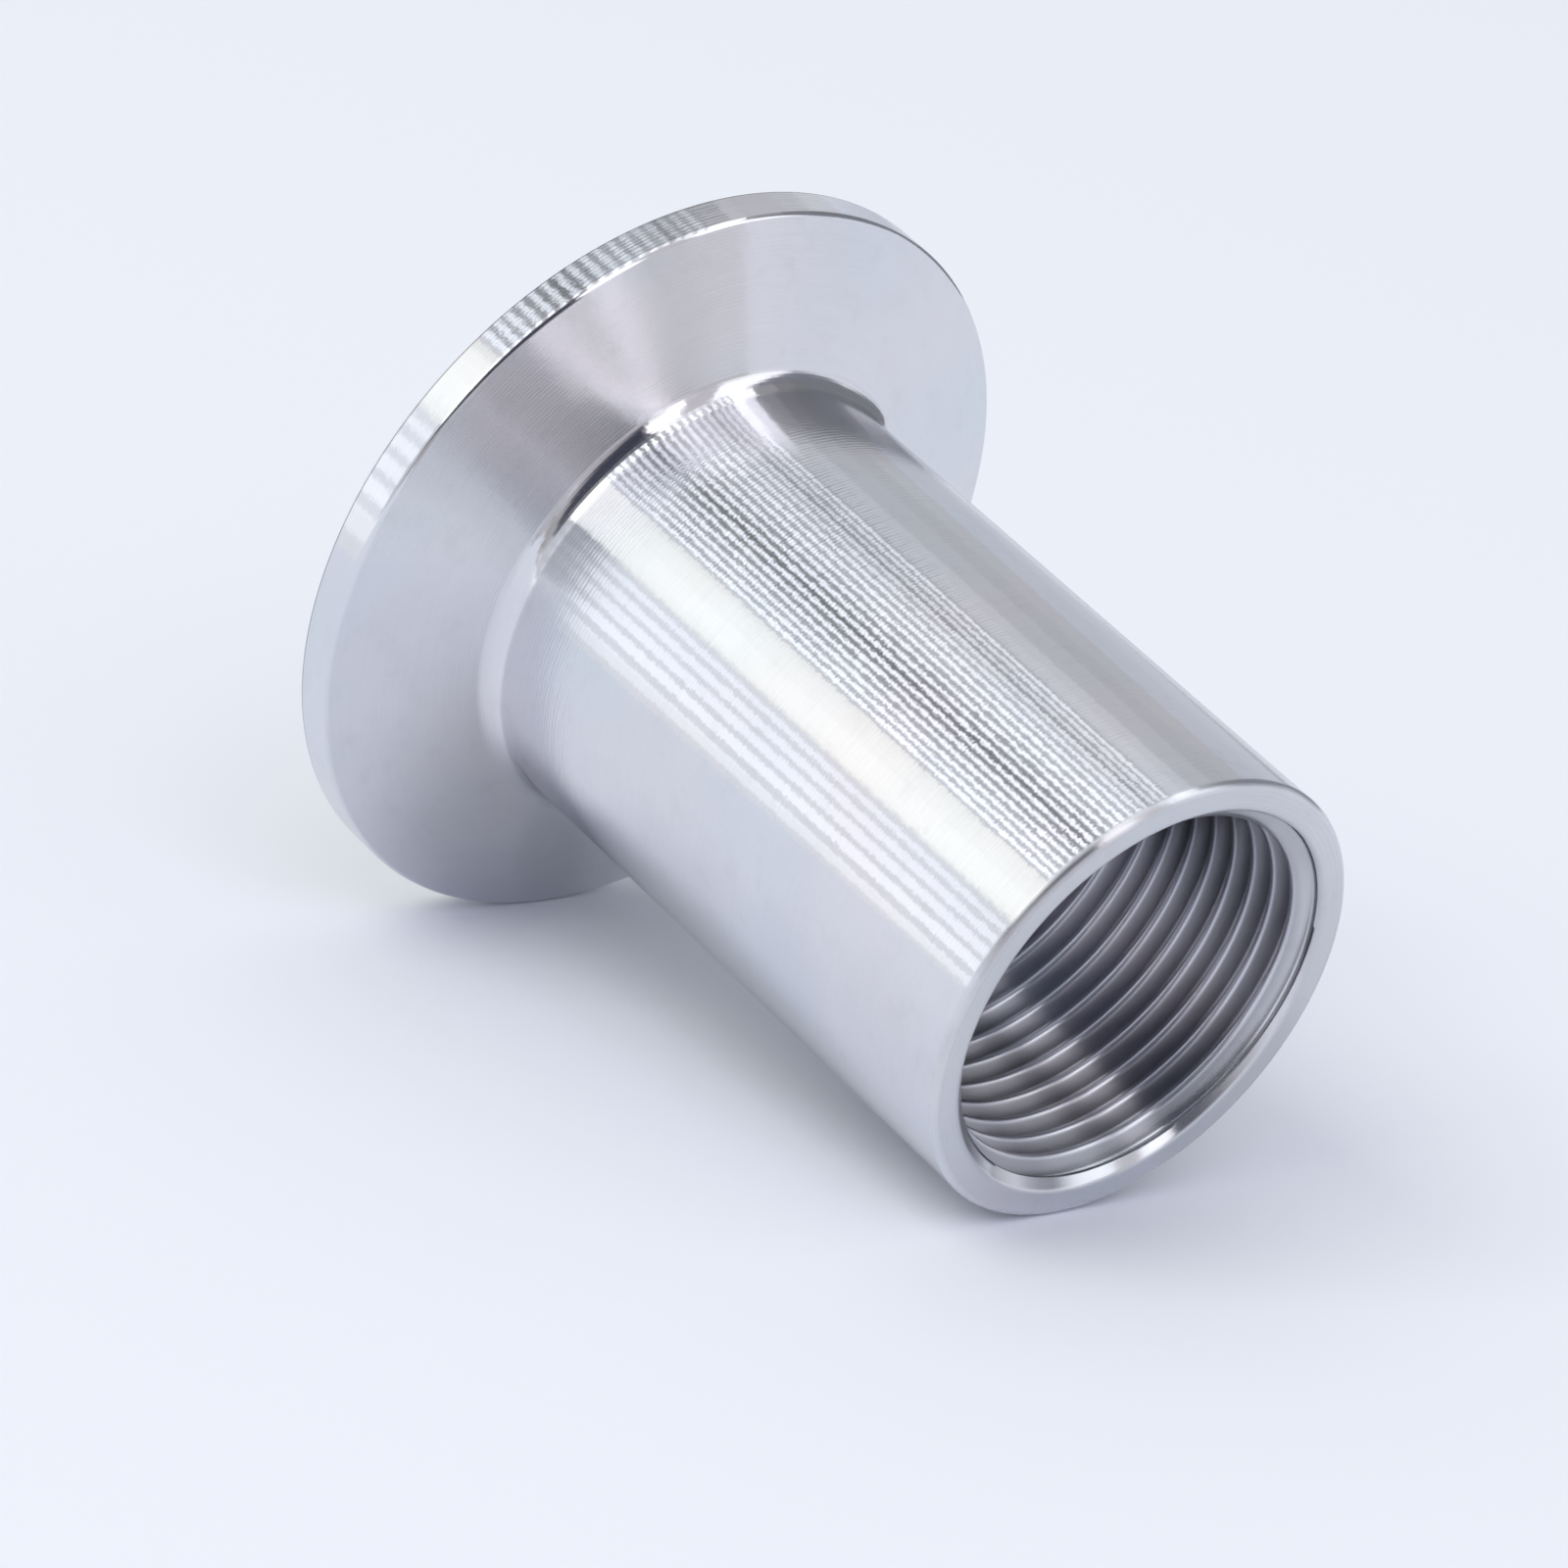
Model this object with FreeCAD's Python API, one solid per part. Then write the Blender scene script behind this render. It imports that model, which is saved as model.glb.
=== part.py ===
import FreeCAD, Part
import math
import os

# Sanitary clamp threaded adapter, turned from one piece of stainless steel bar.
# Millimetres. It stands on its gasket face: the origin is the centre of that face,
# and +Z runs along the turning axis to the threaded mouth.

# Driving dimensions

# Clamp flange, seen as a rim with a cone behind it
flange_diameter = 50.5
rim_height = 2.62
cone_angle = 20.0
rim_edge_radius = 0.4
face_edge_break = 0.15

# Tube
tube_diameter = 30.7
overall_length = 50.0
root_radius = 1.6
mouth_edge_break = 0.25

# Gasket seat: a round-bottomed ring groove in the flange's face
groove_diameter = 43.6
groove_round = 1.9
groove_depth = 1.3

# Passage: pipe thread bore from the mouth, then a smaller bore through the flange
thread_minor_diameter = 24.117
thread_major_diameter = 26.441
entry_clearance = 0.28
entry_angle = 45.0
thread_bore_depth = 22.0
shoulder_angle = 45.0
bore_diameter = 22.2
bore_edge_break = 0.3

# Sizes that follow from these

flange_r = flange_diameter / 2
tube_r = tube_diameter / 2
bore_r = bore_diameter / 2
thread_r = thread_minor_diameter / 2
entry_r = thread_major_diameter / 2 + entry_clearance
cone_rise = (flange_r - tube_r) * math.tan(math.radians(cone_angle))
entry_depth = (entry_r - thread_r) / math.tan(math.radians(entry_angle))
shoulder_height = (thread_r - bore_r) / math.tan(math.radians(shoulder_angle))
thread_floor = overall_length - thread_bore_depth


def point(radius, height):
    return FreeCAD.Vector(radius, 0, height)


def rounded(before, corner, after, radius):
    """Start, middle and end of the arc that rounds a corner of the section."""
    back = (before - corner).normalize()
    ahead = (after - corner).normalize()
    half = back.getAngle(ahead) / 2
    run = radius / math.tan(half)
    centre = corner + (back + ahead).normalize() * (radius / math.sin(half))
    middle = centre + (corner - centre).normalize() * radius
    return corner + back * run, middle, corner + ahead * run


def section_wire(corners):
    """Closed section through (point, radius) corners; radius 0 keeps a corner sharp."""
    count = len(corners)
    edges = []
    arcs = []
    for i, (corner, radius) in enumerate(corners):
        if radius:
            arcs.append(rounded(corners[i - 1][0], corner, corners[(i + 1) % count][0], radius))
        else:
            arcs.append((corner, None, corner))
    for i, (start, middle, end) in enumerate(arcs):
        if middle:
            edges.append(Part.Arc(start, middle, end).toShape())
        edges.append(Part.LineSegment(end, arcs[(i + 1) % count][0]).toShape())
    return Part.Wire(edges)


def flange_corners():
    """Gasket face, rim and cone, from the bore outwards and up to the tube."""
    return [
        (point(bore_r + bore_edge_break, 0), 0),
        (point(flange_r - face_edge_break, 0), 0),
        (point(flange_r, face_edge_break), 0),
        (point(flange_r, rim_height), rim_edge_radius),
        (point(tube_r, rim_height + cone_rise), root_radius),
    ]


def tube_corners():
    """Outside of the threaded end and its flat end face."""
    return [
        (point(tube_r, overall_length - mouth_edge_break), 0),
        (point(tube_r - mouth_edge_break, overall_length), 0),
        (point(entry_r, overall_length), 0),
    ]


def passage_corners():
    """Entry cone, thread bore, shoulder and flange bore, from the mouth downwards."""
    return [
        (point(thread_r, overall_length - entry_depth), 0),
        (point(thread_r, thread_floor), 0),
        (point(bore_r, thread_floor - shoulder_height), 0),
        (point(bore_r, bore_edge_break), 0),
    ]


def turned_body():
    corners = flange_corners() + tube_corners() + passage_corners()
    section = Part.Face(section_wire(corners))
    return section.revolve(FreeCAD.Vector(0, 0, 0), FreeCAD.Vector(0, 0, 1), 360)


def gasket_groove():
    """Ring tool whose lower part lies outside the body, so only its top cuts the face."""
    centre = FreeCAD.Vector(0, 0, groove_depth - groove_round)
    return Part.makeTorus(groove_diameter / 2, groove_round, centre)


def clamp_adapter():
    body = turned_body().cut(gasket_groove())
    return body.Solids[0]


os.makedirs("parts", exist_ok=True)
adapter = clamp_adapter()
adapter.exportStep("parts/clamp_adapter.step")
print("clamp_adapter", "valid", adapter.isValid(), "volume mm3", round(adapter.Volume, 1))
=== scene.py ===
import bpy
import math
import numpy as np
from mathutils import Matrix, Vector


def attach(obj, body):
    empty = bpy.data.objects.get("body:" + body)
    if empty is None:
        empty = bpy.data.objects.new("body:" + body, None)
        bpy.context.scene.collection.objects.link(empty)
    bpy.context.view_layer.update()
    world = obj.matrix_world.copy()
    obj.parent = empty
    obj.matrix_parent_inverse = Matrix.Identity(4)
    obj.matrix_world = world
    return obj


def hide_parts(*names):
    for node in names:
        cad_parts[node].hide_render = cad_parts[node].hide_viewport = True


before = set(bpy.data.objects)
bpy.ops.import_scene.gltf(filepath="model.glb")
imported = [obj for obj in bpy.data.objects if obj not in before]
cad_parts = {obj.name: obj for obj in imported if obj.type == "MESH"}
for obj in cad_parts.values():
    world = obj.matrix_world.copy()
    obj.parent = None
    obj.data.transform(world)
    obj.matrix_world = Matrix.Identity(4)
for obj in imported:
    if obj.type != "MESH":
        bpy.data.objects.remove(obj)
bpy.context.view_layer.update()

# Sizes of the fitting in millimetres: the CAD part's, apart from the two rounds at the mouth

flange_r = 25.25
rim_height = 2.62
cone_angle = 20.0
rim_edge_radius = 0.4
face_edge_break = 0.15
tube_r = 15.35
overall_length = 50.0
root_radius = 1.6
mouth_outer_round = 0.5
mouth_inner_round = 0.5
groove_r = 21.8
groove_round = 1.9
groove_depth = 1.3
thread_minor_r = 24.117 / 2
thread_major_r = 26.441 / 2
entry_clearance = 0.28
entry_r = thread_major_r + entry_clearance
thread_floor = 28.0
bore_r = 11.1
bore_edge_break = 0.3
mm = 0.001

# Pipe thread form: 14 turns to the inch, 55 degrees between flanks, rounded roots and crests.
# It is cut a little wider than the standard's basic form, as the photograph shows it.

pitch = 25.4 / 14
flank_degrees = 55 / 2
flank_angle = math.radians(flank_degrees)
form_radius = 0.137329 * pitch
arc_turn = math.radians(90 - flank_degrees)
arc_run = form_radius * math.cos(flank_angle)
cut_ease = 0.2
cut_minor_r = thread_minor_r + cut_ease
cut_major_r = thread_major_r + cut_ease

# Where the thread starts: the first root's depth below the mouth, at one angle round the axis
first_root_depth = 0.86
first_root_angle = math.radians(190.0)

# Where it ends: the last turn fades out over the runout, which starts a little above the shoulder
runout = 2.6
runout_start = 0.4

# Mesh: how finely the forms are divided, and how much sharp edges are softened

columns = 240
groove_steps = 12
lip_steps = 4
arc_steps = 4
flank_steps = 4
spare_turns = 3
ridge_halvings = 30
ridge_blunting = 0.07
edge_softness = 0.06
groove_edge_radius = 0.08
groove_edge_turn = 0.045
inside_bore = 10.0

# Threaded zone of the mesh, from part of the way round the mouth's inner lip down to the shoulder
lip_centre_r = entry_r + mouth_inner_round * math.tan(math.radians(45 / 2))
lip_centre_z = overall_length - mouth_inner_round
lip_turn = math.radians(31.0)
zone_top = lip_centre_z + mouth_inner_round * math.cos(lip_turn)
zone_clearance = 0.1
zone_floor = thread_floor + zone_clearance
zone_closing = 0.02


# Section of the outside and of the flange bore

def rounded(before, corner, after, radius, steps):
    """Rows round a corner of the section: radius, height and the outward normal of each."""
    before, corner, after = (np.array(p, float) for p in (before, corner, after))
    back = (before - corner) / np.linalg.norm(before - corner)
    ahead = (after - corner) / np.linalg.norm(after - corner)
    half = math.acos(np.clip(back @ ahead, -1, 1)) / 2
    centre = corner + (back + ahead) / np.linalg.norm(back + ahead) * (radius / math.sin(half))
    first = corner + back * (radius / math.tan(half)) - centre
    last = corner + ahead * (radius / math.tan(half)) - centre
    convex = back[1] * ahead[0] - back[0] * ahead[1] > 0
    start = math.atan2(first[1], first[0])
    sweep = math.atan2(first[0] * last[1] - first[1] * last[0], first @ last)
    rows = []
    for i in range(steps + 1):
        angle = start + sweep * i / steps
        spoke = np.array([math.cos(angle), math.sin(angle)])
        normal = spoke if convex else -spoke
        rows.append((*(centre + spoke * radius), *normal))
    return rows


def corner_rows(corners):
    """Rows of a run of (point, radius, steps) corners, without the first and last points."""
    rows = []
    for (before, _, _), (corner, radius, steps), (after, _, _) in zip(corners, corners[1:], corners[2:]):
        rows += rounded(before, corner, after, radius, steps)
    return rows


def groove_rows():
    """Rows across the round gasket groove, between its two softened edges."""
    centre_z = groove_depth - groove_round
    half = math.acos(-centre_z / groove_round) - groove_edge_turn
    rows = []
    for i in range(groove_steps + 1):
        angle = half * (2 * i / groove_steps - 1)
        out, up = math.sin(angle), math.cos(angle)
        rows.append((groove_r + groove_round * out, centre_z + groove_round * up, -out, -up))
    return rows


def outer_rows():
    """Rows from the flange bore over the gasket face, rim, cone and tube to the lip of the mouth."""
    cone_rise = (flange_r - tube_r) * math.tan(math.radians(cone_angle))
    half_width = math.sqrt(groove_round ** 2 - (groove_round - groove_depth) ** 2)
    wall = (groove_round - groove_depth, half_width)
    inner_edge = (groove_r - half_width, 0)
    outer_edge = (groove_r + half_width, 0)
    face = corner_rows([
        ((bore_r, inside_bore), 0, 0),
        ((bore_r, bore_edge_break), edge_softness, 2),
        ((bore_r + bore_edge_break, 0), edge_softness, 2),
        (inner_edge, groove_edge_radius, 3),
        ((inner_edge[0] + wall[0], wall[1]), 0, 0),
    ])
    outside = corner_rows([
        ((outer_edge[0] - wall[0], wall[1]), 0, 0),
        (outer_edge, groove_edge_radius, 3),
        ((flange_r - face_edge_break, 0), edge_softness, 2),
        ((flange_r, face_edge_break), edge_softness, 2),
        ((flange_r, rim_height), rim_edge_radius, 8),
        ((tube_r, rim_height + cone_rise), root_radius, 10),
        ((tube_r, overall_length), mouth_outer_round, 8),
        ((entry_r, overall_length), 0, 0),
    ])
    lip = []
    for i in range(lip_steps):
        angle = lip_turn * i / lip_steps
        out, up = -math.sin(angle), math.cos(angle)
        lip.append((lip_centre_r + mouth_inner_round * out, lip_centre_z + mouth_inner_round * up, out, up))
    return face + groove_rows() + outside + lip


def passage_rows():
    """Rows of the shoulder under the thread, on the way back down to the flange bore."""
    shoulder = thread_minor_r - bore_r
    return corner_rows([
        ((thread_minor_r, zone_floor + 1), 0, 0),
        ((thread_minor_r, thread_floor), edge_softness, 2),
        ((bore_r, thread_floor - shoulder), edge_softness, 2),
        ((bore_r, inside_bore), 0, 0),
    ])


# Threaded zone: rows follow the helix, and a row that leaves the zone closes on its edge

def helix_rise(angle):
    """How far the helix climbs from the angle of the first root to this one."""
    return (angle - first_root_angle) * pitch / (2 * math.pi)


def thread_form(offset):
    """Radius of the thread at an axial distance from the middle of its root."""
    x = np.abs((offset + pitch / 2) % pitch - pitch / 2)
    root = cut_major_r - form_radius + np.sqrt(np.maximum(form_radius ** 2 - x ** 2, 0))
    to_crest = pitch / 2 - x
    crest = cut_minor_r + form_radius - np.sqrt(np.maximum(form_radius ** 2 - to_crest ** 2, 0))
    root_end = cut_major_r - form_radius + form_radius * math.sin(flank_angle)
    flank = root_end - (x - arc_run) / math.tan(flank_angle)
    return np.where(x < arc_run, root, np.where(to_crest < arc_run, crest, flank))


def thread_radius(height, angle):
    """Radius of the bore wall where the thread is cut."""
    root_height = overall_length - first_root_depth + helix_rise(angle)
    form = thread_form(height - root_height)
    fade = np.clip((height - thread_floor - runout_start) / runout, 0, 1)
    fade = fade * fade * (3 - 2 * fade)
    return thread_minor_r + (form - thread_minor_r) * fade


def mouth_radius(height):
    """Radius of the entry cone and of the rounding above it."""
    rise = np.clip(height - lip_centre_z, 0, mouth_inner_round)
    rounding = lip_centre_r - np.sqrt(mouth_inner_round ** 2 - rise ** 2)
    cone = entry_r - (overall_length - height)
    return np.where(rise > mouth_inner_round * math.sqrt(0.5), rounding, cone)


def wall_radius(height, angle):
    """Thread and entry cone together, with the ridge where they meet a little blunted."""
    mouth = mouth_radius(height)
    thread = thread_radius(height, angle)
    near = np.maximum(ridge_blunting - np.abs(mouth - thread), 0) / ridge_blunting
    return np.maximum(mouth, thread) + near * near * ridge_blunting / 4


def turn_steps():
    """Axial places of the rows in one turn of the thread, close together on the rounds."""
    bends = [form_radius * math.sin(arc_turn * i / arc_steps) for i in range(arc_steps)]
    flank_run = pitch / 2 - 2 * arc_run
    straight = [arc_run + flank_run * i / flank_steps for i in range(flank_steps + 1)]
    half = bends + straight + [pitch / 2 - b for b in reversed(bends)][:-1]
    return sorted([-x for x in half[1:]] + half + [pitch / 2])


def helix_heights():
    """Heights of the helical rows from the top down, one line for each column, the columns' angles
    and the number of rows in a turn."""
    steps = turn_steps()
    turns = int((zone_top - zone_floor) / pitch) + spare_turns + 1
    top_turn = overall_length - first_root_depth + spare_turns * pitch
    start = [top_turn - turn * pitch - step for turn in range(turns) for step in steps]
    angles = np.arange(columns) * 2 * math.pi / columns
    heights = np.array(start)[None, :] + helix_rise(angles)[:, None]
    return heights, angles, len(steps)


def snap_to_ridges(heights, angle):
    """Moves the nearest row of one column onto each place where the entry cone meets the thread."""
    def gap(height):
        return mouth_radius(height) - thread_radius(height, angle)
    gaps = gap(heights)
    for i in np.nonzero(gaps[:-1] * gaps[1:] < 0)[0]:
        high, low = heights[i], heights[i + 1]
        for _ in range(ridge_halvings):
            middle = (high + low) / 2
            if gap(middle) * gap(high) > 0:
                high = middle
            else:
                low = middle
        nearest = i if heights[i] - middle < middle - heights[i + 1] else i + 1
        heights[nearest] = middle


def wall_normal(height, angle):
    """Normal of the threaded wall, towards the axis, from small steps along it: out, around and up."""
    step = 0.004
    rise = (wall_radius(height + step, angle) - wall_radius(height - step, angle)) / (2 * step)
    turn = step / thread_major_r
    side = (wall_radius(height, angle + turn) - wall_radius(height, angle - turn)) / (2 * step)
    length = np.sqrt(1 + rise ** 2 + side ** 2)
    return -1 / length, side / length, rise / length


# Whole body as one closed mesh

def build_mesh(name):
    """Mesh of the whole fitting. Each column runs over the outside, down the thread and back."""
    vertices = []
    normals = []

    def add(radius, height, angle, out, around, up):
        """Adds a vertex with its normal, and gives its number."""
        c, s = math.cos(angle), math.sin(angle)
        vertices.append((radius * c * mm, radius * s * mm, height * mm))
        normals.append((out * c - around * s, out * s + around * c, up))
        return len(vertices) - 1

    heights, angles, rows_per_turn = helix_heights()
    above = outer_rows()
    below = passage_rows()
    lip_edge = float(mouth_radius(zone_top))
    upper, helix, lower = [], [], []
    for column, angle in enumerate(angles):
        upper.append([add(r, z, angle, nr, 0, nz) for r, z, nr, nz in above])
        line = heights[column]
        snap_to_ridges(line, angle)
        inside = (line < zone_top - zone_closing) & (line > zone_floor + zone_closing)
        top = add(lip_edge, zone_top, angle, -math.sin(lip_turn), 0, math.cos(lip_turn))
        bottom = add(thread_minor_r, zone_floor, angle, -1, 0, 0)
        radii = wall_radius(line, angle)
        out, around, up = wall_normal(line, angle)
        ids = []
        for i, height in enumerate(line):
            if inside[i]:
                ids.append(add(radii[i], height, angle, out[i], around[i], up[i]))
            else:
                ids.append(top if height > (zone_top + zone_floor) / 2 else bottom)
        helix.append(ids)
        lower.append([add(r, z, angle, nr, 0, nz) for r, z, nr, nz in below])

    faces = []

    def skin(here, there):
        """Faces between two lines of rows; places where the lines close up are left out."""
        for a, b, c, d in zip(here, here[1:], there[1:], there):
            loop = [a, d, c, b]
            kept = [v for i, v in enumerate(loop) if v != loop[i - 1]]
            if len(kept) > 2:
                faces.append(kept)

    for column in range(columns):
        ahead = (column + 1) % columns
        here, there = list(helix[column]), list(helix[ahead])
        if ahead == 0:
            there = [there[0]] * rows_per_turn + there[:-rows_per_turn]
        skin(upper[column] + here[:1], upper[ahead] + there[:1])
        skin(here, there)
        closing_here = here[-1:] + lower[column] + upper[column][:1]
        closing_there = there[-1:] + lower[ahead] + upper[ahead][:1]
        skin(closing_here, closing_there)

    mesh = bpy.data.meshes.new(name)
    mesh.from_pydata(vertices, [], faces)
    mesh.validate()
    mesh.shade_smooth()
    mesh.normals_split_custom_set_from_vertices(normals)
    mesh.update()
    return mesh


# Materials

class Nodes:
    """Shader nodes of a material or world. An input is a number, a colour or another node's output."""

    def __init__(self, owner, end):
        owner.use_nodes = True
        self.tree = owner.node_tree
        self.tree.nodes.clear()
        self.end = self.add(end)

    def add(self, kind, inputs=(), **settings):
        """New node, with its settings made before its inputs are filled."""
        made = self.tree.nodes.new("ShaderNode" + kind)
        for key, value in settings.items():
            setattr(made, key, value)
        for key, value in dict(inputs).items():
            if isinstance(value, bpy.types.NodeSocket):
                self.tree.links.new(value, made.inputs[key])
            else:
                made.inputs[key].default_value = value
        return made

    def out(self, kind, inputs=(), **settings):
        """First output of a new node."""
        return self.add(kind, inputs, **settings).outputs[0]

    def calc(self, operation, *values):
        return self.out("Math", enumerate(values), operation=operation)

    def times(self, first, *others):
        """Product of all the values."""
        for value in others:
            first = self.calc("MULTIPLY", first, value)
        return first

    def ramp(self, value, start, stop, first=0.0, last=1.0, **settings):
        """Value that goes from first to last while another goes from start to stop."""
        ends = {"Value": value, "From Min": start, "From Max": stop, "To Min": first, "To Max": last}
        return self.out("MapRange", ends, **settings)

    def inside(self, mask, share):
        """1 outside a zone, and this share of 1 inside it."""
        return self.ramp(mask, 0, 1, 1.0, share)

    def place(self):
        """Point on the object, in metres."""
        return self.add("TexCoord").outputs["Object"]

    def scaled(self, vector, by):
        return self.out("VectorMath", {0: vector, 1: by}, operation="MULTIPLY")

    def length(self, vector):
        return self.add("VectorMath", {0: vector}, operation="LENGTH").outputs["Value"]

    def show(self, shader):
        """Ends the tree with this shader."""
        self.tree.links.new(shader, self.end.inputs[0])


def new_material(name):
    material = bpy.data.materials.new(name)
    return material, Nodes(material, "OutputMaterial")


def turned_steel():
    """Bright turned stainless steel: fine rings round the axis, rough across them and smooth along them."""
    material, nodes = new_material("turned_steel")
    in_mm = nodes.scaled(nodes.place(), (1000, 1000, 1000))
    x, y, height = nodes.add("SeparateXYZ", {0: in_mm}).outputs
    radius = nodes.calc("SQRT", nodes.calc("ADD", nodes.times(x, x), nodes.times(y, y)))
    cosine = nodes.calc("DIVIDE", x, radius)
    sine = nodes.calc("DIVIDE", y, radius)

    def zone(radii, heights):
        """Mask that rises from the first radius of a pair to the second, and from the first height of a
        pair to the second, in millimetres."""
        return nodes.times(nodes.ramp(radius, *radii), nodes.ramp(height, *heights))

    def rings(per_mm, around, detail):
        """Noise that changes quickly along the section and slowly round the axis."""
        inputs = {
            "Vector": nodes.out("CombineXYZ", {
                0: nodes.times(radius, per_mm),
                1: nodes.times(height, per_mm),
                2: nodes.times(cosine, around),
            }),
            "W": nodes.times(sine, around),
            "Scale": 1.0,
            "Detail": detail,
            "Roughness": 0.6,
        }
        return nodes.out("TexNoise", inputs, noise_dimensions="4D")

    def clouds(vector, scale, detail, roughness=0.5):
        inputs = {"Vector": vector, "Scale": scale, "Detail": detail, "Roughness": roughness}
        return nodes.out("TexNoise", inputs)

    on_cone = zone((16.0, 17.0), (2.5, 2.8))
    in_bore = zone((13.78, 13.70), (1.3, 2.0))
    in_thread = nodes.times(in_bore, nodes.ramp(height, 49.0, 48.6))
    on_flank = nodes.times(in_thread, nodes.ramp(radius, 12.34, 12.52))
    on_edge = zone((14.7, 14.9), (49.4, 49.6))
    on_rim = zone((25.10, 25.20), (2.6, 2.4))
    # Painted dark line along the foot of the rim, where its edge shows dark
    painted_dark_rim_line = zone((25.00, 25.10), (0.26, 0.19))

    # Tool marks: the wave of the feed, finer and coarser rings, and chatter, each with its height in
    # millimetres. The cone and the bore are calmer.
    feed_pitch = 0.27
    feed_lean = 0.9
    feed_wander = 9.0
    chatter_scale = (1.6, 1.6, 3.6)
    along = nodes.calc("SUBTRACT", height, nodes.times(radius, feed_lean))
    wander = nodes.times(rings(0.8, 2.0, 1.0), feed_wander)
    feed = nodes.calc("SINE", nodes.calc("ADD", nodes.times(along, 2 * math.pi / feed_pitch), wander))
    fine = rings(9.0, 3.0, 2.0)
    coarse = rings(2.2, 5.0, 1.0)
    chatter = clouds(nodes.scaled(in_mm, chatter_scale), 1.0, 1.0)
    relief = nodes.times(feed, 0.0010)
    for marks, size in ((fine, 0.0030), (coarse, 0.0050), (chatter, 0.0050)):
        relief = nodes.calc("MULTIPLY_ADD", marks, size, relief)
    calm = nodes.times(nodes.inside(on_cone, 0.45), nodes.inside(in_bore, 0.12))
    bump = nodes.out("Bump", {"Height": nodes.times(relief, calm), "Strength": 1.0, "Distance": mm})

    # Colour: a tint that drifts between cool and warm, soft clouds and smudges. Painted light and shade:
    # inside the thread a little lighter and bluer (painted crest highlight and cool shade), the flanks
    # darker towards the mouth (painted shade of the deep thread, partly cutting residue), and a painted
    # dark line along the foot of the rim.
    tone = nodes.calc("ADD", nodes.times(clouds(in_mm, 0.12, 3.0, 0.55), 0.6), nodes.times(fine, 0.4))
    tone_range = (0.25, 0.75)
    smudge = clouds(in_mm, 0.55, 3.0, 0.65)
    tint = nodes.add("ValToRGB", {0: clouds(in_mm, 0.075, 2.0)})
    cool_end, warm_end = tint.color_ramp.elements
    cool_end.position = 0.35
    cool_end.color = (0.715, 0.740, 0.785, 1)
    warm_end.position = 0.65
    warm_end.color = (0.765, 0.750, 0.785, 1)
    # Painted cool tint of the shade in the bore: blue raised inside the thread
    painted_cool_shade_tint = nodes.out("CombineXYZ", {0: 1.0, 1: 1.0, 2: nodes.inside(in_thread, 1.035)})
    tinted = nodes.scaled(tint.outputs[0], painted_cool_shade_tint)
    # Painted shade on the thread's flanks, deeper towards the mouth, partly cutting residue
    painted_flank_shade = nodes.times(on_flank, nodes.ramp(height, 38.0, 48.0, 0.27, 0.37))
    shade = nodes.times(
        nodes.ramp(tone, *tone_range, 0.94, 1.04),
        # Painted highlight: the thread a little lighter, so its crests read bright
        nodes.inside(in_thread, 1.04),
        nodes.inside(painted_dark_rim_line, 0.45),
        nodes.ramp(smudge, 0.54, 0.72, 1.0, 0.96),
        nodes.calc("SUBTRACT", 1.0, painted_flank_shade),
    )
    colour = nodes.out("VectorMath", {0: tinted, "Scale": shade}, operation="SCALE")

    roughness = nodes.ramp(tone, *tone_range, 0.11, 0.13)
    rougher = ((on_cone, 0.035), (in_bore, 0.09), (in_thread, 0.075), (on_edge, 0.16), (on_rim, 0.025))
    for mask, more in rougher:
        roughness = nodes.calc("MULTIPLY_ADD", mask, more, roughness)

    nodes.show(nodes.out("BsdfPrincipled", {
        "Base Color": colour,
        "Metallic": 1.0,
        "Roughness": roughness,
        "Anisotropic": 1.0,
        "Anisotropic Rotation": 0.25,
        "Tangent": nodes.out("Tangent", direction_type="RADIAL", axis="Z"),
        "Normal": bump,
    }))
    return material


body = bpy.data.objects.new("turned_adapter", build_mesh("turned_adapter"))
bpy.context.scene.collection.objects.link(body)
body.data.materials.append(turned_steel())
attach(body, "root")
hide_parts("clamp_adapter")

# Camera, at the photograph's viewing angle

view_azimuth = math.radians(100.0)
view_elevation = math.radians(35.662)
picture_roll = math.radians(-132.876)
aim = Vector((-0.841, 4.770, 20.546)) * mm
distance = 443.213 * mm

back = Vector((
    math.sin(view_azimuth) * math.cos(view_elevation),
    -math.cos(view_azimuth) * math.cos(view_elevation),
    math.sin(view_elevation),
))
level_right = Vector((0, 0, 1)).cross(back).normalized()
level_up = back.cross(level_right)
up = level_up * math.cos(picture_roll) + level_right * math.sin(picture_roll)
right = up.cross(back)
eye = aim + back * distance
camera_data = bpy.data.cameras.new("camera")
camera_data.lens = 168.628
camera_data.sensor_width = 36.0
camera_data.clip_start = 0.01
camera_data.clip_end = 20.0
camera = bpy.data.objects.new("camera", camera_data)
camera.matrix_world = Matrix.Translation(eye) @ Matrix((right, up, back)).transposed().to_4x4()
bpy.context.scene.collection.objects.link(camera)
bpy.context.scene.camera = camera

# Floor: the fitting lies on its flange's edge and the lip of its mouth, so the floor leans in this frame

lie_tilt = math.radians(11.805)
lie_reach = 25.203 * mm
lie_side = Vector((1, -1, 0)).normalized()
floor_up = lie_side * math.cos(lie_tilt) - Vector((0, 0, 1)) * math.sin(lie_tilt)
floor_away = (-back - floor_up * (-back).dot(floor_up)).normalized()
floor_right = floor_away.cross(floor_up)
floor_centre = floor_up * -lie_reach
floor_half = 3.0
floor_colour = (0.83, 0.855, 0.92, 1)
floor_fade = (0.34, 0.7)


def on_floor(x, y, lift=0.0):
    """Point this many millimetres to the right of the floor's centre, away and up from it."""
    return floor_centre + (floor_up * lift + floor_right * x + floor_away * y) * mm


def square(half):
    """Corners of a level square round the origin."""
    return [(-half, -half), (half, -half), (half, half), (-half, half)]


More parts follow.
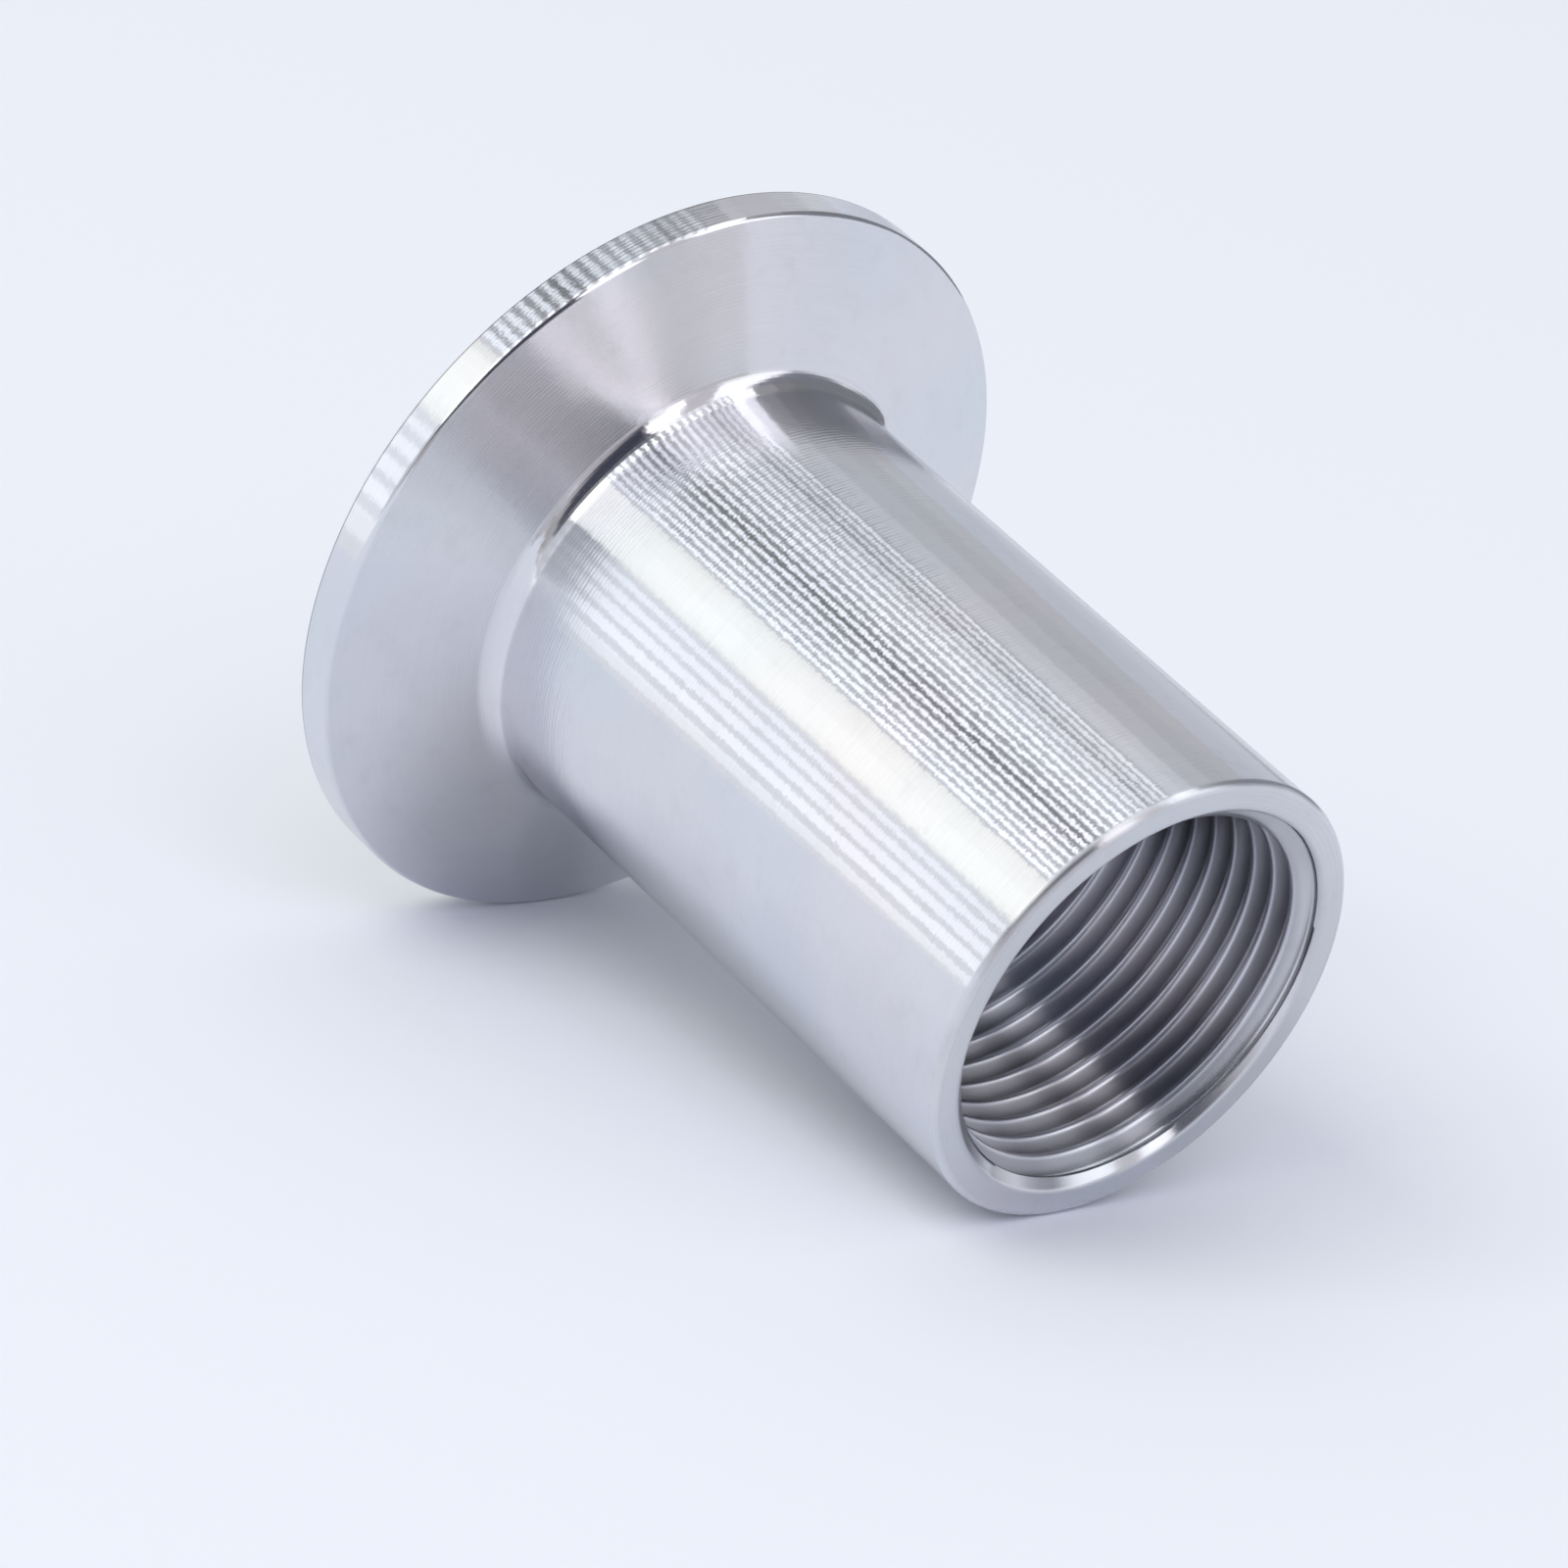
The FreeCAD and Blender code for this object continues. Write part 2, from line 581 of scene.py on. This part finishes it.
def floor_material():
    """Pale matt floor, seen only from its upper side. For the camera it fades into the backdrop far from
    the part, so that its edge doesn't show in other views."""
    material, nodes = new_material("pale_floor")
    matt = nodes.out("BsdfDiffuse", {"Color": floor_colour})
    clear = nodes.out("BsdfTransparent")
    behind = nodes.add("NewGeometry").outputs["Backfacing"]
    far = nodes.ramp(nodes.length(nodes.place()), *floor_fade, interpolation_type="SMOOTHSTEP")
    by_camera = nodes.add("LightPath").outputs["Is Camera Ray"]
    unseen = nodes.calc("MAXIMUM", behind, nodes.times(far, by_camera))
    nodes.show(nodes.out("MixShader", {0: unseen, 1: matt, 2: clear}))
    return material


floor_mesh = bpy.data.meshes.new("floor")
floor_corners = [floor_centre + floor_right * x + floor_away * y for x, y in square(floor_half)]
floor_mesh.from_pydata(floor_corners, [], [(0, 1, 2, 3)])
floor = bpy.data.objects.new("floor", floor_mesh)
floor.data.materials.append(floor_material())
bpy.context.scene.collection.objects.link(floor)


# Light

def from_studio(bearing, elevation):
    """Direction given in degrees, by its bearing from the camera's side round to the right, and height."""
    b, e = math.radians(bearing), math.radians(elevation)
    level = floor_right * math.sin(b) - floor_away * math.cos(b)
    return level * math.cos(e) + floor_up * math.sin(e)


def area_lamp(name, bearing, elevation, size, away, power, colour):
    """Soft square lamp, which the metal doesn't mirror."""
    data = bpy.data.lights.new(name, "AREA")
    data.shape = "SQUARE"
    data.size = size
    data.energy = power
    data.color = colour
    lamp = bpy.data.objects.new(name, data)
    towards = from_studio(bearing, elevation)
    lamp.location = towards * away
    lamp.rotation_mode = "QUATERNION"
    lamp.rotation_quaternion = towards.to_track_quat("Z", "Y")
    lamp.visible_glossy = False
    bpy.context.scene.collection.objects.link(lamp)


area_lamp("left_lamp", -50, 48, 1.8, 3.0, 31, (1.0, 1.0, 0.86))
area_lamp("front_lamp", 10, 45, 1.8, 3.0, 20, (0.72, 0.71, 1.0))

# World: a backdrop for the camera and for reflections, and plain light for everything else
world = bpy.data.worlds.new("studio")
bpy.context.scene.world = world
world_nodes = Nodes(world, "OutputWorld")
path = world_nodes.add("LightPath").outputs
mirrors = world_nodes.calc("MAXIMUM", path["Is Glossy Ray"], path["Is Transmission Ray"])
seen = world_nodes.calc("MAXIMUM", path["Is Camera Ray"], mirrors)
lighting = world_nodes.out("Background", {"Color": (0.98, 1.0, 1.01, 1), "Strength": 0.70})
backdrop = world_nodes.out("Background", {"Color": (0.84, 0.865, 0.93, 1), "Strength": 1.0})
world_nodes.show(world_nodes.out("MixShader", {0: seen, 1: lighting, 2: backdrop}))


# Reflection cards: what the bright metal mirrors

card_white = (0.98, 1.0, 1.03)
card_reach = 0.95
wall_reach = 0.75
wall_middle = Vector((0, 0, 28 * mm))
eye_from_wall = eye - wall_middle
eye_angle = math.atan2(eye_from_wall.y, eye_from_wall.x)
eye_level = math.hypot(eye_from_wall.x, eye_from_wall.y) / eye_from_wall.length
stripe_zero = 80.0


def glow(name, colour):
    material, nodes = new_material(name)
    nodes.show(nodes.out("Emission", {"Color": (*colour, 1), "Strength": 1.0}))
    return material


def only_in_reflections(card):
    card.visible_camera = False
    card.visible_diffuse = False
    card.visible_shadow = False
    card.visible_transmission = False
    card.visible_volume_scatter = False
    bpy.context.scene.collection.objects.link(card)


def mirrored(turned, rise):
    """Direction that the tube's wall mirrors to the camera where it has turned by this many
    degrees, for a share of the direction that runs along the axis."""
    wall = math.radians(turned - stripe_zero)
    level = math.sqrt(1 - rise * rise)
    swing = math.asin(max(-1, min(1, eye_level * math.sin(eye_angle - wall) / level)))
    around = wall - swing
    return Vector((math.cos(around) * level, math.sin(around) * level, rise))


def row_levels(middle):
    """Levels of one row of lamps: the gap before it and the lamp, and then the same two lower down."""
    if middle < 55.5:
        outwards = 55.5 - middle
        low_levels = (0.22, 0.22) if middle < 53.5 else (0.19, 0.27)
        return 0.49 + outwards * 0.018, 1.10 + outwards * 0.034, *low_levels
    gap = 0.42 if middle < 58.5 else 0.20 + 0.45 * min(1, abs(middle - 74.0) / 8)
    bright = 1.13 + 0.42 * min(1, abs(middle - 56) / 7)
    dim = 0.24 if middle < 63.0 else min(1, 0.28 + (middle - 64.0) * 0.021)
    return gap, bright, gap * 0.30, bright * dim * 1.08


def lamp_stripes():
    """Stripes of the lamp wall, each with the degrees between which the tube mirrors it and its colours
    low down, in the middle and high up."""
    stripes = []

    def band(start, stop, level, low, high, tint=(0.98, 1.0, 1.045), low_tint=None):
        colours = []
        for part, shades in ((low, low_tint or tint), (level, tint), (high, tint)):
            colours.append(tuple(part * t for t in shades))
        stripes.append((start, stop, colours))

    # Dim side of the room, which shows along one edge of the tube
    cool = (0.95, 1.0, 1.10)
    band(-20, 0, 0.62, 0.64, 0.23, cool)
    band(0, 4, 0.50, 0.62, 0.23, cool)
    band(4, 8, 0.43, 0.80, 0.23, cool)
    band(8, 12, 0.45, 1.14, 0.23, cool)
    band(12, 20, 0.65, 1.09, 0.23, cool)
    band(20, 28, 0.63, 0.97, 0.23, cool)
    band(28, 33, 0.57, 0.91, 0.23)
    band(33, 38, 0.545, 0.75, 0.26)
    band(38, 44, 0.60, 0.62, 0.36)
    band(44, 47, 0.69, 0.54, 1.45)
    band(47, 50.3, 0.75, 0.20, 1.90)

    # Rows of narrow lamps, a little closer together towards the two ends
    lamp_rows = 17
    rows_middle = 68.6
    row_spacing = 2.15
    squeeze = 0.0019
    lamp_half = 0.48
    teal = (0.90, 1.0, 1.07)
    last = 50.3
    for row in range(lamp_rows):
        step = row - lamp_rows / 2
        middle = rows_middle + row_spacing * step - squeeze * step ** 3
        gap, bright, low_gap, low_bright = row_levels(middle)
        start, stop = middle - lamp_half, middle + lamp_half
        band(last, start, gap, low_gap, gap * 1.1, low_tint=teal)
        band(start, stop, bright, low_bright, bright * 1.2, low_tint=teal)
        last = stop
    band(last, 85.2, 0.7, 0.7, 1.0)

    # Wide bright lamp
    white = (0.99, 1.0, 0.96)
    band(85.2, 86.6, 1.20, 1.00, 1.85, white)
    band(86.6, 88.2, 1.20, 1.30, 1.85, white)
    band(88.2, 90.5, 1.23, 1.34, 1.85, white)
    band(90.5, 94.8, 1.30, 1.36, 1.85, white)
    band(94.8, 96.3, 1.28, 1.28, 1.75, white)
    band(96.3, 97.0, 1.12, 1.20, 1.60, white)

    # Five soft lamps
    soft = (
        (98.4, 99.9, 1.20),
        (101.3, 103.3, 1.23),
        (104.5, 106.8, 1.24),
        (108.2, 110.6, 1.28),
        (112.5, 114.6, 1.24),
    )
    last = 97.0
    for start, stop, level in soft:
        band(last, start, 0.93, 1.04, 0.68)
        band(start, stop, level, 1.32, 0.74)
        last = stop
    band(last, 116.2, 1.13, 1.12, 0.84)
    band(116.2, 118.0, 1.13, 1.03, 0.84)
    return stripes


def lamp_wall():
    """Curved wall of lamps. It is divided along the lines that the turned tube shows as straight stripes.
    Each stripe has a level in the middle, where the tube mirrors it, one lower down, which the flange's
    rim mirrors, and one higher up, which comes back from the flange's cone to the foot of the tube."""
    rises = (-0.92, -0.79, -0.635, -0.55, -0.45, -0.36, -0.26, -0.16, -0.06, 0.05, 0.16)
    level_between = (0, 0, 1, 1, 1, 2, 2, 2, 2, 2)
    vertices, faces, kinds = [], [], []
    slots = {}
    for start, stop, levels in lamp_stripes():
        first = len(vertices)
        beside = first + len(rises)
        for turned in (start, stop):
            vertices += [mirrored(turned, rise) * wall_reach + wall_middle for rise in rises]
        for i, level in enumerate(level_between):
            faces.append((first + i, first + i + 1, beside + i + 1, beside + i))
            kinds.append(slots.setdefault(levels[level], len(slots)))
    mesh = bpy.data.meshes.new("lamp_wall")
    mesh.from_pydata(vertices, [], faces)
    for colour, slot in slots.items():
        mesh.materials.append(glow(f"lamp_wall_{slot}", colour))
    mesh.polygons.foreach_set("material_index", kinds)
    only_in_reflections(bpy.data.objects.new("lamp_wall", mesh))


def card_from_grid(name, grid, level, tint):
    """Glowing card through rows of points."""
    across = len(grid[0])
    faces = []
    for i in range(len(grid) - 1):
        for j in range(across - 1):
            first = i * across + j
            faces.append((first, first + 1, first + across + 1, first + across))
    mesh = bpy.data.meshes.new(name)
    mesh.from_pydata([point for row in grid for point in row], [], faces)
    mesh.materials.append(glow(name, tuple(level * t for t in tint)))
    only_in_reflections(bpy.data.objects.new(name, mesh))


def sky_card(name, outline, level, tint=card_white):
    """Card far away. Its outline gives, at each height, the bearings of its two sides, in degrees."""
    rows, spans = 8, 12
    grid = []
    for lower, upper in zip(outline, outline[1:]):
        for i in range(rows + 1):
            share = i / rows
            elevation, left, other = (a + (b - a) * share for a, b in zip(lower, upper))
            bearings = [left + (other - left) * j / spans for j in range(spans + 1)]
            grid.append([from_studio(bearing, elevation) * card_reach for bearing in bearings])
    card_from_grid(name, grid, level, tint)


def floor_sheet(name, outline, level, tint=card_white, lift=1.0):
    """Sheet that lies on the floor beside the picture, seen only in the metal. Its outline is given by
    pairs of points in millimetres to the right and away."""
    grid = [[on_floor(x, y, lift) for x, y in pair] for pair in outline]
    card_from_grid(name, grid, level, tint)


def plain_sheet(name, across, depth, level, tint=card_white, lift=1.0):
    """Floor sheet with straight sides."""
    floor_sheet(name, [((x, depth[0]), (x, depth[1])) for x in across], level, tint, lift)


def floor_shade(spots):
    """Wide sheet just above the floor, which takes a little from what the metal mirrors of it in a few
    soft spots. A spot has a centre, a reach along and across, a turn, the share that it lets through in
    its middle, and the part of its reach at which the shade begins to fade."""
    half = 0.4
    lift = 0.3
    material, nodes = new_material("floor_shade")
    place = nodes.place()
    let_through = 1.0
    for (x, y), (along, across), turned, share, full in spots:
        inputs = {
            "Vector": place,
            "Location": (x * mm, y * mm, 0),
            "Rotation": (0, 0, math.radians(turned)),
            "Scale": (along * mm, across * mm, 1),
        }
        way_out = nodes.length(nodes.out("Mapping", inputs, vector_type="TEXTURE"))
        part = nodes.ramp(way_out, full, 1.0, share, 1.0, interpolation_type="SMOOTHSTEP")
        let_through = nodes.times(let_through, part)
    nodes.show(nodes.out("BsdfTransparent", {"Color": let_through}))
    mesh = bpy.data.meshes.new("floor_shade")
    mesh.from_pydata([(x, y, 0) for x, y in square(half)], [], [(0, 1, 2, 3)])
    mesh.materials.append(material)
    sheet = bpy.data.objects.new("floor_shade", mesh)
    turn = Matrix((floor_right, floor_away, floor_up)).transposed().to_4x4()
    sheet.matrix_world = Matrix.Translation(on_floor(0, 0, lift)) @ turn
    only_in_reflections(sheet)


# Lamps and shaded sides of the room
lamp_wall()
sky_card("front_shade", [(8, -28, 51.5), (30, -28, 33.5), (42, -28, 24.7)], 0.062, (0.86, 0.92, 1.34))
sky_card("front_shade_top", [(42, -28, 24.7), (62, -28, 10)], 0.12, (0.92, 0.95, 1.16))
sky_card("low_front", [(-1, -28, 57.5), (8, -28, 52)], 0.50, (1.0, 0.97, 1.0))
sky_card("near_lamp", [(12, 48.5, 60.8), (30, 34, 53), (62, 10, 35)], 1.50, (1.0, 0.97, 0.99))
sky_card("near_lamp_foot", [(-1, 58.3, 60.8), (12, 57.5, 60.8)], 1.75, (1.0, 0.95, 1.0))
sky_card("foot_gap", [(-1, 60.8, 63.0), (12, 60.8, 63.0)], 0.62, (1.0, 0.99, 1.03))
sky_card("second_foot", [(-1, 63.0, 65.2), (12, 63.0, 65.2)], 0.72, (1.0, 0.96, 1.0))
sky_card("low_right", [(-1, 65.2, 80), (13, 65.2, 79)], 0.58, (1.0, 1.0, 1.02))
sky_card("middle_shade", [(14, 60, 70), (34, 53, 66), (60, 40, 60)], 0.66, (1.0, 0.96, 1.0))
sky_card("right_lamp", [(14, 71, 92), (34, 66, 89), (60, 64, 90)], 1.40)
sky_card("right_shade", [(13, 94, 165), (34, 91, 165), (50, 90, 165)], 0.24, (0.93, 0.98, 1.14))

# Floor in front of the part and to its right, in strips that darken towards the camera
for letter, start, near, far, level in (
    ("a", 12, -55, -47, 0.82),
    ("b", 12, -65, -55, 0.78),
    ("c", 30, -75, -65, 0.76),
    ("d", 30, -85, -75, 0.75),
    ("e", 30, -100, -85, 0.56),
    ("f", 30, -112, -100, 0.42),
):
    plain_sheet("near_floor_" + letter, (start, 300), (near, far), level, (0.98, 1.01, 1.09))
floor_sheet("front_right_floor", [
    ((30, -112), (30, -345)),
    ((120, -125), (120, -345)),
    ((300, -230), (300, -345)),
    ((500, -300), (330, -520)),
    ((2600, -1600), (1500, -2600)),
], 0.60, (1.0, 0.98, 1.05))

# Floor outside the picture
plain_sheet("far_floor", (230, 1100), (-230, -118), 0.62, lift=0.5)
plain_sheet("farther_floor", (500, 1100), (-118, -30), 0.755, lift=0.5)
plain_sheet("front_floor", (-300, 200), (-1500, -350), 0.42, (1.0, 0.95, 0.88))
plain_sheet("left_floor", (-1500, -230), (-320, 60), 1.15)
plain_sheet("left_floor_edge", (-230, -150), (-320, 60), 0.95)

# Bright patches on the floor to the right
floor_sheet("low_glow", [
    ((150, -112), (150, -123)),
    ((175, -113), (175, -125)),
    ((240, -116), (240, -131)),
    ((274, -117), (274, -129)),
], 2.5, (1.0, 0.95, 1.01), 1.5)
floor_sheet("second_glow", [
    ((280, -139), (317, -160)),
    ((341, -148), (394, -172)),
], 0.75, (1.0, 0.96, 1.0), 1.5)

# Shade under the part and behind it, as its metal mirrors it
floor_shade([
    ((3.8, -14.7), (32, 11), -42, 0.74, 0.15),
    ((60, -27), (45, 27), -20, 0.84, 0.52),
    ((48, -20), (18, 11), -20, 0.87, 0.60),
    ((42, 165), (48, 100), 0, 0.83, 0.35),
    ((1.5, -0.5), (7, 4.5), -42, 0.88, 0.30),
])

bpy.context.scene.view_settings.view_transform = "Standard"
